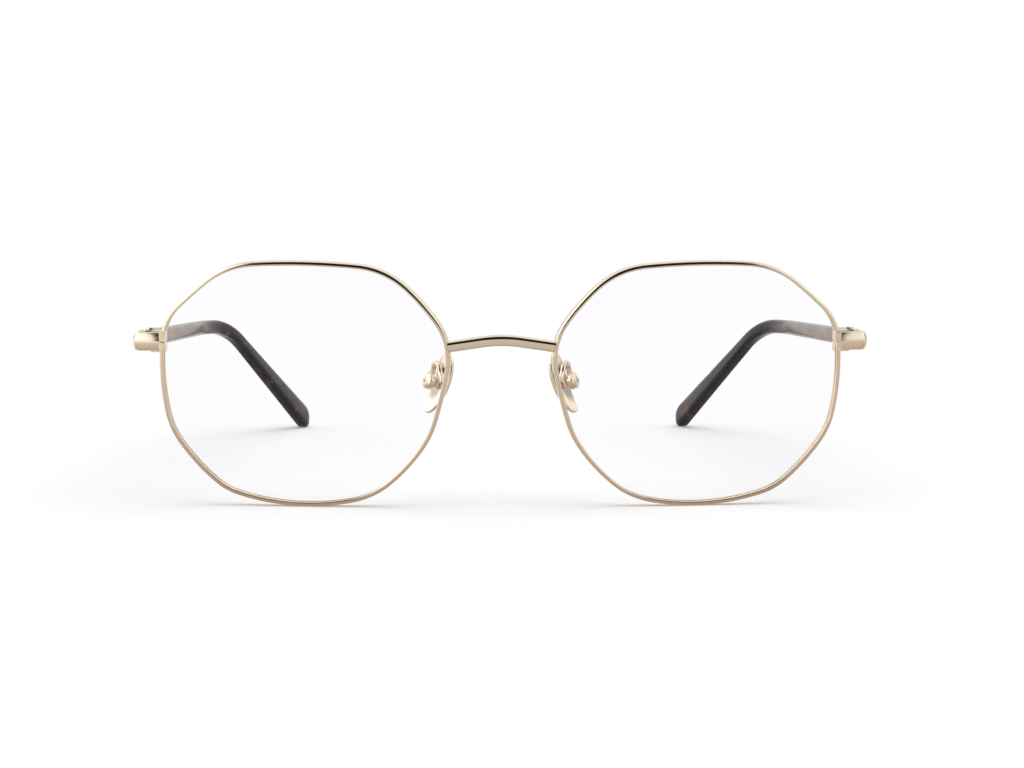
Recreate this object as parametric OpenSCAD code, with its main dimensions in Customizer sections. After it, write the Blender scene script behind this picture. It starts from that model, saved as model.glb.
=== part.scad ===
/* [Front] */
// Nominal width of a lens, which sets the size of the rims
lens_width = 52; // [48:1:56]
// Distance between the two lenses over the nose
bridge_width = 20; // [18:1:24]
// Thickness of the rim wire as seen from the front
wire = 0.8; // [0.7:0.05:1]
// Depth of the rim wire from front to back
rim_depth = 2.3; // [2:0.1:2.8]
// Radius of the curve that the lenses and rims follow
lens_curve = 130; // [110:5:200]
// Thickness of a lens
lens_thickness = 1.5; // [1.2:0.1:1.7]
// Lean of the front towards the viewer, in degrees
lean = 6; // [2:1:9]
// Wrap of each rim round the face, in degrees
wrap = 6; // [3:1:8]

/* [Bridge] */
// Height of the bridge bar
bridge_height = 1.95; // [1.5:0.05:2.1]
// Depth of the bridge bar
bridge_depth = 2.2; // [1.8:0.1:2.6]
// Bow of the bar from its ends to its middle
bridge_bow = 1.9; // [1.6:0.1:2.6]

/* [Endpieces and rim locks] */
// Height of an endpiece
endpiece_height = 3.45; // [3:0.05:4]
// Thickness of the endpiece bar
endpiece_thickness = 1.4; // [1.2:0.1:1.8]
// Reach of an endpiece past the rim
endpiece_reach = 5.3; // [4.6:0.1:6.4]
// Distance from the front of an endpiece back to the hinge axis
endpiece_length = 7.4; // [7:0.1:10]
// Height of the two lock halves together
lock_height = 3.9; // [3.6:0.1:4.6]
// Gap between the two lock halves
lock_gap = 0.15; // [0.1:0.05:0.3]

/* [Nose pads] */
// Length of a nose pad
pad_length = 11.6; // [11.2:0.2:13]
// Width of a nose pad
pad_width = 6; // [5.8:0.2:6.6]
// Thickness of a pad's metal shell
pad_thickness = 0.7; // [0.5:0.1:1]
// Lean of a pad, top towards the nose, in degrees
pad_lean = 21; // [14:1:24]
// Splay of a pad, front edge towards the nose, in degrees
pad_splay = 26; // [22:1:32]
// Diameter of the pad arm's wire
arm_wire = 1; // [0.8:0.1:1.2]

/* [Hinges] */
// Diameter of a hinge barrel
barrel_diameter = 2.4; // [2.2:0.1:2.6]
// Diameter of the hinge screw's shank
screw_diameter = 1.3; // [1.1:0.1:1.4]
// Running clearance round the hinge screw
running_fit = 0.03; // [0.02:0.01:0.06]

/* [Temples] */
// Height of a temple along its straight part
temple_height = 3.1; // [3:0.1:5]
// Thickness of a temple
temple_thickness = 2.6; // [2.4:0.1:3.2]
// Length of the straight part, from the hinge to the ear bend
temple_straight = 87; // [80:1:100]
// Radius of the ear bend
bend_radius = 28; // [20:1:34]
// Angle of the ear bend, in degrees
bend_angle = 31; // [27:1:38]
// Width of the temple tip as seen from the side
tip_width = 6; // [5:0.2:8]
// Inward turn of the temple end, in degrees
tip_turn = 20; // [16:1:28]
// Toe-in of the straight part, in degrees
toe_in = 0; // [0:0.1:3]
// Fall of the straight part towards the ear, in degrees
temple_fall = 1.7; // [1:0.1:3]

/* [Hidden] */
$fn = 96;
gold = [0.86, 0.77, 0.62];
tortoise = [0.25, 0.14, 0.08];
clear_lens = [0.85, 0.88, 0.95, 0.35];
// Reach of the solids that only cut others, round the front and round a temple
cut_room = 20;
far = 100;

// Rim outline: each side is [direction of its outermost point, reach from the lens centre, bulge radius]
size = lens_width / 52;
side_shapes = [
  [-5, 26.65, 49], [54.5, 24.8, 84], [90.5, 21.2, 116], [121.5, 24.9, 39],
  [195.5, 25.5, 97], [224.5, 25.25, 35], [270, 24.15, 45], [312, 26.2, 41]
];
corner_shapes = [10, 16.5, 15.5, 11.8, 19, 15.5, 11.5, 14.5];
rim_sides = [for (side = side_shapes) [side[0], side[1] * size, side[2] * size]];
rim_corners = [for (radius = corner_shapes) radius * size];
// Pad outline in the same form, wider at the top than at the bottom
pad_taper = 6;
pad_sides = [
  [-pad_taper, pad_width / 2, 12], [90, pad_length / 2, 8],
  [180 + pad_taper, pad_width / 2, 12], [270, pad_length / 2, 8]
];
pad_corners = [2.6, 2.6, 1.5, 1.5];

// Groove of the rim wire
groove_depth = 0.4;
groove_width = 0.9;
groove_start = 0.7;
lens_play = 0.02;
tongue = groove_width - 0.1;
tongue_root = 1;
lens_step = 0.3;

// Lens centre in the rim's own plane, and where the curved front lies there
lens_drop = 6.6 * size;
curve_start = -pow(lens_width / 2, 2) / (2 * lens_curve);
function curve_at(u, v) = curve_start + (u * u + v * v) / (2 * lens_curve);
lowest = rim_sides[6][1];
lowest_back = lens_width / 2 * sin(wrap) + curve_at(0, lowest) * cos(wrap);
hinge_height = cos(lean) * (lowest + lens_drop) - sin(lean) * lowest_back;

// Outer side of the rim at the height of the lock
lock_over_centre = lens_drop - 0.5;
function centre_of(side) = (side[1] - side[2]) * [cos(side[0]), sin(side[0])];
side_reach = centre_of(rim_sides[0])[0]
  + sqrt(pow(rim_sides[0][2], 2) - pow(lock_over_centre - centre_of(rim_sides[0])[1], 2));
side_x = bridge_width / 2 + (lens_width / 2 + side_reach) * cos(wrap);
side_y = (lens_width / 2 + side_reach) * sin(wrap) + curve_at(side_reach, lock_over_centre);

// Endpiece and hinge
endpiece_front = side_y - 0.15;
endpiece_start = side_x + 0.1;
outer_x = side_x + endpiece_reach;
endpiece_bend = 1.9;
bulge = 0.55;
barrel_play = 0.1;
hinge_x = outer_x - endpiece_thickness - barrel_play - barrel_diameter / 2;
hinge_y = endpiece_front + endpiece_length;
knuckle = endpiece_height / 3;
knuckle_play = 0.04;
leaf_thickness = 0.7;
leaf_end = barrel_diameter / 2 + 0.15;
leaf_length = 3.2;
arm_lap = 1;
plate_start = 0.1;
plate_gap = 0.35;
screw_head = 2;
screw_head_height = 0.45;
slot_share = 0.18;

// Rim lock
lock_depth = 4.7;
lock_inner = side_x - wire - 0.1;
lock_outer = side_x + 1.8;
lock_screw_x = side_x + 0.55;
lock_screw_y = endpiece_front + 3.2;
lock_screw_diameter = 1.2;
lock_head = 1.8;
lock_head_height = 0.5;

// Bridge
bridge_drop = 1.17;
bridge_pitch = 28;
bridge_corner = 1.3;
bridge_back = 1.3;
bridge_lap = 1;

// Nose pads, placed from the bridge
pad_centre = [bridge_width / 2 + 0.8, 9, hinge_height - 8.2];
pad_curve = 16;
pin_x = 1.6;
pin_diameter = 0.8;
mount_radius = 0.65;
mount_width = 1.3;
cheek = 0.55;
cheek_play = 0.04;
cheek_width = 1.6;
cheek_lap = 0.3;
pad_head = 1.3;
pad_head_height = 0.3;
cup_start = 2.35;
cup_end = 3.3;
cup_radius = 1.6;
cup_dome = 2.4;

// Pad arm: its root at the rim, the two ends of its loop, and its end in the cup
arm_root = [bridge_width / 2 + 0.4, 2, hinge_height - 8];
arm_rise = [bridge_width / 2 + 1.2, 4.2, hinge_height - 5.6];
arm_fall = [bridge_width / 2 + 2.5, 7.4, hinge_height - 5.6];
arm_end = pad_centre + [2.13, -1.42, 1.66];
arm_joint = arm_wire * 1.05;

// Temple
temple_start = 3;
temple_gap = 0.1;
temple_centre = outer_x - temple_thickness / 2;
core_height = 1.8;
core_thickness = 1.1;
core_trim = 6;
turn_radius = 55;
bend_steps = 8;
tip_steps = 16;
turn_start = temple_straight - 13;
bend_drop = bend_radius * (1 - cos(bend_angle)) * cos(temple_fall)
  + (temple_straight + bend_radius * sin(bend_angle)) * sin(temple_fall);
leg = (hinge_height - tip_width / 2 - bend_drop) / sin(bend_angle + temple_fall);

// Middle of the whole depth, from the bridge to the tips, which lies over the origin
front_y = bridge_back - bridge_depth / 2 - bridge_bow * sin(bridge_pitch);
tip_y = hinge_y + temple_start + tip_width / 2 + leg * cos(bend_angle + temple_fall)
  + (temple_straight + bend_radius * sin(bend_angle)) * cos(temple_fall);
middle_y = (front_y + tip_y) / 2;

// Centre of the arc that rounds the corner between two sides
function corner_centre(a, b, radius) =
  let (from = centre_of(a), to = centre_of(b), span = norm(to - from))
  let (along = (to - from) / span, across = [-along[1], along[0]])
  let (ra = a[2] - radius, rb = b[2] - radius)
  let (run = (ra * ra - rb * rb + span * span) / (2 * span))
  let (rise = sqrt(ra * ra - run * run))
  let (one = from + along * run + across * rise, two = from + along * run - across * rise)
  let (middle = (a[0] + b[0] + (b[0] > a[0] ? 0 : 360)) / 2)
  let (out = [cos(middle), sin(middle)])
  one * out > two * out ? one : two;
function direction(v) = atan2(v[1], v[0]);
function between(from, to, share) = from + ((to - from + 540) % 360 - 180) * share;

// Wide discs that touch a corner's arc from inside and hold the whole outline, so that together they round it
function corner_discs(a, b, radius, cover, count) =
  let (middle = corner_centre(a, b, radius))
  let (from = direction(middle - centre_of(a)), to = direction(middle - centre_of(b)))
  [for (i = [0 : count - 1])
    let (angle = between(from, to, (i + 0.5) / count))
    [middle + (radius - cover) * [cos(angle), sin(angle)], cover]];

// All discs of an outline, whose common area is the outline
function outline_discs(sides, corners, cover, count) = concat(
  [for (side = sides) [centre_of(side), side[2]]],
  [for (i = [0 : len(sides) - 1])
    each corner_discs(sides[i], sides[(i + 1) % len(sides)], corners[i], cover, count)]
);
rim_discs = outline_discs(rim_sides, rim_corners, 160 * size, 5);
pad_discs = outline_discs(pad_sides, pad_corners, 16, 4);

// Closed outline drawn in by an inset
module outline(discs, inset = 0) {
  intersection_for (disc = discs) translate(disc[0]) circle(disc[1] - inset, $fn = 720);
}

// Solid bounded by the rim outline, running from front to back
module rim_prism(inset) {
  rotate([90, 0, 0])
    translate([0, 0, -cut_room])
      linear_extrude(2 * cut_room) outline(rim_discs, inset);
}

module rim_ring(outer, inner) {
  rotate([90, 0, 0])
    translate([0, 0, -cut_room])
      linear_extrude(2 * cut_room)
        difference() {
          outline(rim_discs, outer);
          outline(rim_discs, inner);
        }
}

// Curved layer of the front between two depths
module front_layer(start, end) {
  translate([0, lens_curve + curve_start, 0])
    difference() {
      sphere(lens_curve - start, $fn = 360);
      sphere(lens_curve - end, $fn = 360);
    }
}

// Place of the left lens: x towards the temple, y back, z up, from the lens centre
module lens_place() {
  translate([0, 0, hinge_height])
    rotate([lean, 0, 0])
      translate([bridge_width / 2, 0, 0])
        rotate([0, 0, wrap])
          translate([lens_width / 2, 0, -lens_drop])
            children();
}

// Rim wire with its groove, open where the lock closes it
module rim() {
  color(gold)
    difference() {
      lens_place()
        difference() {
          intersection() {
            rim_ring(0, wire);
            front_layer(0, rim_depth);
          }
          intersection() {
            rim_prism(wire - groove_depth);
            front_layer(groove_start, groove_start + groove_width);
          }
        }
      translate([side_x, endpiece_front, hinge_height])
        cube([2 * cut_room, 2 * cut_room, lock_height], center = true);
    }
}

// Lens body with the thin tongue round its edge that sits in the groove
module lens() {
  color(clear_lens)
    lens_place() {
      intersection() {
        rim_prism(wire + lens_play);
        front_layer(groove_start - lens_step, groove_start - lens_step + lens_thickness);
      }
      intersection() {
        rim_ring(wire - groove_depth + lens_play, wire + tongue_root);
        front_layer(groove_start + (groove_width - tongue) / 2, groove_start + (groove_width + tongue) / 2);
      }
    }
}

// Bridge bar: an arch that rises and bows forward, cut to the rims
module bridge() {
  half = bridge_width / 2 + bridge_lap;
  radius = (half * half + bridge_bow * bridge_bow) / (2 * bridge_bow);
  spread = asin(half / radius);
  color(gold)
    difference() {
      translate([0, bridge_back, hinge_height - bridge_drop])
        rotate([bridge_pitch, 0, 0])
          translate([0, 0, bridge_bow - radius])
            rotate([90, 0, 0])
              rotate(90 - spread)
                rotate_extrude(angle = 2 * spread, $fn = 360)
                  translate([radius, 0])
                    rotate(-bridge_pitch)
                      intersection() {
                        circle(bridge_corner);
                        square([bridge_height, bridge_depth], center = true);
                      }
      lens_place() rim_prism(0);
      mirror([1, 0, 0]) lens_place() rim_prism(0);
    }
}

// Section of the endpiece bar: flat inside, bulged outside
module endpiece_section() {
  crown = (pow(endpiece_height / 2, 2) + bulge * bulge) / (2 * bulge);
  translate([-endpiece_thickness, -endpiece_height / 2])
    square([endpiece_thickness - bulge, endpiece_height]);
  intersection() {
    translate([-bulge, -endpiece_height / 2]) square([bulge, endpiece_height]);
    translate([-crown, 0]) circle(crown, $fn = 240);
  }
}

// Endpiece: from the rim outwards, round the corner and back to the hinge
module endpiece() {
  corner_x = outer_x - endpiece_bend;
  corner_y = endpiece_front + endpiece_bend;
  color(gold)
    translate([0, 0, hinge_height]) {
      translate([endpiece_start, corner_y, 0])
        rotate([0, 90, 0])
          linear_extrude(corner_x - endpiece_start)
            rotate(-90) translate([endpiece_bend, 0]) endpiece_section();
      translate([corner_x, corner_y, 0])
        rotate(-90)
          rotate_extrude(angle = 90, $fn = 120) translate([endpiece_bend, 0]) endpiece_section();
      translate([corner_x, corner_y, 0])
        rotate([90, 0, 0])
          mirror([0, 0, 1])
            linear_extrude(hinge_y + plate_start - plate_gap - corner_y) translate([endpiece_bend, 0]) endpiece_section();
    }
}

// One half of the rim lock, from the split to its outer face
module lock_half_block(low, high) {
  difference() {
    translate([0, 0, hinge_height + low]) {
      translate([lock_inner, endpiece_front, 0])
        cube([endpiece_start - lock_inner, lock_depth, high - low]);
      translate([lock_inner, endpiece_front + endpiece_thickness, 0])
        cube([lock_outer - lock_inner, lock_depth - endpiece_thickness, high - low]);
    }
    lens_place()
      intersection() {
        rim_prism(wire - groove_depth);
        front_layer(groove_start, groove_start + groove_width);
      }
    lens_place()
      intersection() {
        rim_prism(wire);
        front_layer(-arm_wire, rim_depth);
      }
  }
}
module rim_lock_upper() {
  color(gold)
    difference() {
      lock_half_block(lock_gap / 2, lock_height / 2);
      translate([lock_screw_x, lock_screw_y, hinge_height])
        cylinder(h = cut_room, d = lock_screw_diameter + 2 * running_fit, center = true);
      translate([lock_screw_x, lock_screw_y, hinge_height + lock_height / 2 - lock_head_height])
        cylinder(h = cut_room, d = lock_head + 2 * running_fit);
    }
}
module rim_lock_lower() {
  color(gold)
    difference() {
      lock_half_block(-lock_height / 2, -lock_gap / 2);
      translate([lock_screw_x, lock_screw_y, hinge_height])
        cylinder(h = cut_room, d = lock_screw_diameter, center = true);
    }
}

// Slotted screw standing on its tip: shank, then head
module slotted_screw(length, shank, head, head_height) {
  difference() {
    union() {
      cylinder(h = length - head_height, d = shank);
      translate([0, 0, length - head_height]) cylinder(h = head_height, d = head);
    }
    translate([-head, -head * slot_share / 2, length - head_height / 2])
      cube([2 * head, head * slot_share, head_height]);
  }
}
module rim_lock_screw() {
  color(gold)
    translate([lock_screw_x, lock_screw_y, hinge_height - lock_height / 2])
      slotted_screw(lock_height, lock_screw_diameter, lock_head, lock_head_height);
}

// Front half of the hinge: a leaf on the endpiece and the two outer knuckles
module hinge_front() {
  color(gold)
    translate([hinge_x, hinge_y, hinge_height])
      difference() {
        union() {
          translate([barrel_diameter / 2 + barrel_play - leaf_thickness, -leaf_end - leaf_length, -endpiece_height / 2])
            cube([leaf_thickness, leaf_length, endpiece_height]);
          for (level = [-1, 1])
            translate([0, 0, level * knuckle])
              knuckle_with_arm(knuckle - knuckle_play, -leaf_end - arm_lap, 0);
        }
        cylinder(h = cut_room, d = screw_diameter, center = true);
      }
}
module knuckle_with_arm(height, arm_from, arm_to) {
  cylinder(h = height, d = barrel_diameter, center = true);
  translate([0, arm_from, -height / 2])
    cube([barrel_diameter / 2 + barrel_play, arm_to - arm_from, height]);
}

// Temple half of the hinge: the middle knuckle and the plate that ends the temple
module hinge_temple() {
  color(gold)
    translate([hinge_x, hinge_y, hinge_height])
      difference() {
        union() {
          knuckle_with_arm(knuckle - knuckle_play, plate_start, plate_start + arm_lap);
          translate([barrel_diameter / 2 + barrel_play, plate_start, 0])
            rotate([-90, 0, 0])
              linear_extrude(temple_start - plate_start)
                translate([endpiece_thickness, 0]) endpiece_section();
        }
        cylinder(h = cut_room, d = screw_diameter + 2 * running_fit, center = true);
      }
}
module hinge_screw() {
  color(gold)
    translate([hinge_x, hinge_y, hinge_height - endpiece_height / 2])
      slotted_screw(endpiece_height + screw_head_height, screw_diameter, screw_head, screw_head_height);
}

// Place of a nose pad: x outwards from its face, y across it, z along it
module pad_place() {
  translate(pad_centre)
    rotate([0, -pad_lean, 0])
      rotate([0, 0, -pad_splay])
        children();
}
module pad_prism() {
  rotate([90, 0, 90])
    translate([0, 0, -pad_thickness * 2])
      linear_extrude(pad_width) outline(pad_discs);
}
module pad_shell_layer(start, end) {
  translate([pad_curve - pad_thickness / 2, 0, 0])
    difference() {
      sphere(pad_curve - start, $fn = 180);
      sphere(pad_curve - end, $fn = 180);
    }
}

// Dished metal pad
module nose_pad() {
  color(gold)
    pad_place()
      intersection() {
        pad_prism();
        pad_shell_layer(0, pad_thickness);
      }
}

// Eye soldered to the back of the pad, which rocks on the pad screw
module pad_mount() {
  color(gold)
    pad_place()
      difference() {
        union() {
          translate([pin_x, 0, 0])
            rotate([90, 0, 0]) cylinder(h = mount_width, r = mount_radius, center = true);
          translate([0, -mount_width / 2, -mount_radius]) cube([pin_x, mount_width, 2 * mount_radius]);
        }
        translate([pin_x, 0, 0])
          rotate([90, 0, 0]) cylinder(h = cut_room, d = pin_diameter + 2 * running_fit, center = true);
        translate([pad_curve - pad_thickness / 2, 0, 0])
          difference() {
            sphere(pad_curve + pad_width, $fn = 180);
            sphere(pad_curve - pad_thickness, $fn = 180);
          }
      }
}

// Domed cup of the pad arm
module cup_body() {
  pad_place()
    rotate([0, 90, 0])
      rotate_extrude($fn = 120)
        intersection() {
          translate([0, cup_start]) square([cup_radius, cup_end]);
          translate([0, cup_end - sqrt(cup_dome * cup_dome - cup_radius * cup_radius)]) circle(cup_dome);
        }
}

// Cup with two cheeks round the eye of the pad
module pad_cup() {
  cheek_from = mount_width / 2 + cheek_play;
  color(gold)
    difference() {
      union() {
        cup_body();
        pad_place()
          for (side = [-1, 1])
            translate([pin_x - mount_radius, side * (cheek_from + cheek / 2) - cheek / 2, -cheek_width / 2])
              cube([cup_start - pin_x + mount_radius + cheek_lap, cheek, cheek_width]);
      }
      pad_place()
        translate([pin_x, 0, 0])
          rotate([90, 0, 0]) cylinder(h = cut_room, d = pin_diameter, center = true);
    }
}
module pad_screw() {
  length = mount_width + 2 * (cheek_play + cheek);
  color(gold)
    pad_place()
      translate([pin_x, length / 2, 0])
        rotate([90, 0, 0]) slotted_screw(length + pad_head_height, pin_diameter, pad_head, pad_head_height);
}

// Straight run of wire between two points
module wire_run(from, to) {
  run = to - from;
  translate(from)
    rotate([0, acos(run[2] / norm(run)), atan2(run[1], run[0])])
      cylinder(h = norm(run), d = arm_wire, $fn = 48);
}

// Pad arm: from the back of the rim, over a loop and down to the cup
module pad_arm() {
  across = arm_fall - arm_rise;
  color(gold)
    difference() {
      union() {
        wire_run(arm_root, arm_rise);
        for (joint = [arm_rise, arm_fall]) translate(joint) sphere(d = arm_joint, $fn = 48);
        translate((arm_rise + arm_fall) / 2)
          rotate([90, 0, atan2(across[1], across[0])])
            rotate_extrude(angle = 180, $fn = 96)
              translate([norm(across) / 2, 0]) circle(d = arm_wire, $fn = 48);
        wire_run(arm_fall, arm_end);
      }
      cup_body();
      lens_place()
        intersection() {
          rim_prism(-arm_wire);
          front_layer(-arm_wire, rim_depth);
        }
    }
}

// Place of a temple: x outwards, y back along it, z up, from the end of the hinge plate
module temple_place() {
  translate([temple_centre, hinge_y + temple_start, hinge_height])
    rotate([-temple_fall, 0, toe_in])
      children();
}

// Point of a path that runs straight, turns through an arc and runs straight again, and its heading
function path_point(straight, radius, turn, end, share) =
  share <= 1 ? [[straight * share, 0], 0]
  : share <= 2 ? let (angle = turn * (share - 1))
    [[straight + radius * sin(angle), -radius * (1 - cos(angle))], angle]
  : let (run = end * (share - 2))
    [[straight + radius * sin(turn) + run * cos(turn), -radius * (1 - cos(turn)) - run * sin(turn)], turn];
function shifted(step, offset) = step[0] + offset * [sin(step[1]), cos(step[1])];

// Side view of the temple: straight, ear bend, leg and rounded tip
module temple_side(height, end_width, start, trim) {
  shares = concat([start / temple_straight], [for (i = [0 : bend_steps]) 1 + i / bend_steps]);
  path = [for (share = shares) path_point(temple_straight, bend_radius, bend_angle, leg - trim, share)];
  tip = path_point(temple_straight, bend_radius, bend_angle, leg - trim, 3);
  polygon(concat(
    [for (step = path) shifted(step, height / 2)],
    [for (i = [0 : tip_steps])
      let (angle = 90 - bend_angle - i * 180 / tip_steps)
      tip[0] + end_width / 2 * [cos(angle), sin(angle)]],
    [for (i = [len(path) - 1 : -1 : 0]) shifted(path[i], -height / 2)]
  ));
}

// Top view of the temple: straight, then turned in towards the head
module temple_top(thickness, start) {
  shares = concat([start / turn_start], [for (i = [0 : bend_steps]) 1 + i / bend_steps], [3]);
  path = [for (share = shares) path_point(turn_start, turn_radius, tip_turn, 2 * leg, share)];
  rotate(90)
    mirror([0, 1])
      polygon(concat(
        [for (step = path) shifted(step, thickness / 2)],
        [for (i = [len(path) - 1 : -1 : 0]) shifted(path[i], -thickness / 2)]
      ));
}

// Solid common to the side view and the top view
module temple_bar(height, end_width, thickness, start, trim) {
  intersection() {
    rotate([90, 0, 90])
      translate([0, 0, -far])
        linear_extrude(2 * far) temple_side(height, end_width, start, trim);
    translate([0, 0, -far]) linear_extrude(2 * far) temple_top(thickness, start);
  }
}

// Flat steel wire inside the temple
module temple_core() {
  color(gold)
    temple_place() temple_bar(core_height, core_height, core_thickness, temple_gap, core_trim);
}

// Acetate temple with the channel of its core
module temple() {
  color(tortoise)
    temple_place()
      difference() {
        temple_bar(temple_height, tip_width, temple_thickness, temple_gap, 0);
        temple_bar(core_height, core_height, core_thickness, 0, core_trim);
      }
}

// Pieces are drawn with the front at y = 0 and placed with the middle of the whole depth there
module placed() {
  translate([0, -middle_y, 0]) children();
}
module right() {
  mirror([1, 0, 0]) placed() children();
}

right() rim();  // rim_right
placed() rim();  // rim_left
right() lens();  // lens_right
placed() lens();  // lens_left
placed() bridge();
right() rim_lock_upper();  // rim_lock_upper_right
placed() rim_lock_upper();  // rim_lock_upper_left
right() rim_lock_lower();  // rim_lock_lower_right
placed() rim_lock_lower();  // rim_lock_lower_left
right() rim_lock_screw();  // rim_lock_screw_right
placed() rim_lock_screw();  // rim_lock_screw_left
right() endpiece();  // endpiece_right
placed() endpiece();  // endpiece_left
right() hinge_front();  // hinge_front_right
placed() hinge_front();  // hinge_front_left
right() hinge_screw();  // hinge_screw_right
placed() hinge_screw();  // hinge_screw_left
right() pad_arm();  // pad_arm_right
placed() pad_arm();  // pad_arm_left
right() pad_cup();  // pad_cup_right
placed() pad_cup();  // pad_cup_left
right() pad_screw();  // pad_screw_right
placed() pad_screw();  // pad_screw_left
right() nose_pad();  // nose_pad_right
placed() nose_pad();  // nose_pad_left
right() pad_mount();  // pad_mount_right
placed() pad_mount();  // pad_mount_left
right() hinge_temple();  // hinge_temple_right
placed() hinge_temple();  // hinge_temple_left
right() temple_core();  // temple_core_right
placed() temple_core();  // temple_core_left
right() temple();  // temple_right
placed() temple();  // temple_left
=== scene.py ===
from math import asin, atan2, cos, pi, radians, sin, sqrt, tan

import bmesh
import bpy
from mathutils import Matrix, Vector


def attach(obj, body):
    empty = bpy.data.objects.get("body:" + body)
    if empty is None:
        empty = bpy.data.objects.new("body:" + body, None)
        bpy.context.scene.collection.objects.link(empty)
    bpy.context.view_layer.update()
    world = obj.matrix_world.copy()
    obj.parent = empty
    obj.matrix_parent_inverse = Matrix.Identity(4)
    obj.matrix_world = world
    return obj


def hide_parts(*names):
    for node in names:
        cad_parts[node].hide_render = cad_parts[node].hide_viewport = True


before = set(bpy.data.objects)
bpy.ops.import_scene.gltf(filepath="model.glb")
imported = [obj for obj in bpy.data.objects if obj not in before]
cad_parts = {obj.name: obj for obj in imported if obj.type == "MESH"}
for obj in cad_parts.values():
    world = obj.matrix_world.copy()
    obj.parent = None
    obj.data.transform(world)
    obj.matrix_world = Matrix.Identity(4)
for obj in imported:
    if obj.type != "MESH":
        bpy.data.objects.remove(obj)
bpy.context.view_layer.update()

# The rims: each is one grooved wire of gold-plated metal, bent round its lens in eight nearly
# straight sides with soft corners, and open behind the endpiece, where the rim lock closes it.
MM = 0.001
LENS_WIDTH = 52.0
BRIDGE_WIDTH = 20.0
WIRE = 0.8
RIM_DEPTH = 2.3
LENS_CURVE = 130.0
LEAN = radians(6)
WRAP = radians(6)
LENS_DROP = 6.6
HINGE_HEIGHT = 30.3346
MIDDLE_Y = 75.6744
GROOVE_START, GROOVE_WIDTH, GROOVE_DEPTH = 0.7, 0.9, 0.4
LOCK_HEIGHT = 3.9
# Each side: direction of its outermost point in degrees, reach from the lens centre, radius of its bulge
RIM_SIDES = [(-5, 26.65, 49), (54.5, 24.8, 84), (90.5, 21.2, 116), (121.5, 24.9, 39),
             (195.5, 25.5, 97), (224.5, 25.25, 35), (270, 24.15, 45), (312, 26.2, 41)]
RIM_CORNERS = [10, 16.5, 15.5, 11.8, 19, 15.5, 11.5, 14.5]
# Vertices nearer than this are one, and an arc with less of a turn is left out
SAME_SPOT, LEAST_TURN = 1e-4, 1e-6


def side_centre(side):
    """Centre of the wide arc that one side of an outline follows."""
    angle, reach, bulge = radians(side[0]), side[1], side[2]
    return Vector((cos(angle), sin(angle))) * (reach - bulge)


def corner_centre(a, b, radius):
    """Centre of the arc that rounds the corner between two sides."""
    start, end = side_centre(a), side_centre(b)
    span = (end - start).length
    along = (end - start) / span
    across = Vector((-along.y, along.x))
    run = ((a[2] - radius) ** 2 - (b[2] - radius) ** 2 + span ** 2) / (2 * span)
    rise = sqrt((a[2] - radius) ** 2 - run ** 2)
    middle = radians((a[0] + b[0] + (0 if b[0] > a[0] else 360)) / 2)
    out = Vector((cos(middle), sin(middle)))
    return max((start + along * run + across * r for r in (rise, -rise)), key=lambda c: c.dot(out))


def outline_arcs(sides, corners):
    """The outline's arcs in turn: centre, radius, and the directions that it starts and ends at."""
    turns = []
    for i, radius in enumerate(corners):
        a, b = sides[i], sides[(i + 1) % len(sides)]
        middle = corner_centre(a, b, radius)
        turns.append([middle, radius] + [atan2(*reversed(middle - side_centre(s))) for s in (a, b)])
    arcs = []
    for i, side in enumerate(sides):
        arcs.append([side_centre(side), side[2], turns[i - 1][3], turns[i][2]])
        arcs.append(turns[i])
    return [(c, r, a, a + (b - a) % (2 * pi)) for c, r, a, b in arcs]


def bend_round(bm, ring, arcs, step):
    """Carries a drawn section round the arcs, as a wire is bent round its lens."""
    for centre, radius, start, end in arcs:
        if end - start > LEAST_TURN:
            count = max(2, round(radius * (end - start) / step))
            ring = bmesh.ops.spin(bm, geom=ring, cent=(centre.x, 0, centre.y), axis=(0, -1, 0),
                                  angle=end - start, steps=count)["geom_last"]


def section_at(bm, arc, angle, points):
    """A section of (inset, depth) points standing on an arc in the given direction."""
    centre, radius = arc[0], arc[1]
    out = Vector((cos(angle), sin(angle)))
    spots = [centre + out * (radius - inset) for inset, depth in points]
    return [bm.verts.new((p.x, depth, p.y)) for p, (inset, depth) in zip(spots, points)]


def curve_front(bm):
    """Bends a flat front to the sphere of the lenses; y holds the depth behind the front."""
    start = -(LENS_WIDTH / 2) ** 2 / (2 * LENS_CURVE)
    for v in bm.verts:
        v.co.y = LENS_CURVE + start - sqrt((LENS_CURVE - v.co.y) ** 2 - v.co.x ** 2 - v.co.z ** 2)


LENS_PLACE = (Matrix.Translation((0, 0, HINGE_HEIGHT)) @ Matrix.Rotation(LEAN, 4, "X")
              @ Matrix.Translation((BRIDGE_WIDTH / 2, 0, 0)) @ Matrix.Rotation(WRAP, 4, "Z")
              @ Matrix.Translation((LENS_WIDTH / 2, 0, -LENS_DROP)))
TO_FRAME = Matrix.Scale(MM, 4) @ Matrix.Translation((0, -MIDDLE_Y, 0))
# A piece that comes in a pair is drawn for the wearer's left and mirrored for the right
SIDES = {"left": Matrix.Identity(4), "right": Matrix.Scale(-1, 4, (1, 0, 0))}
SHARP_ANGLE = radians(40)


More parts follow.
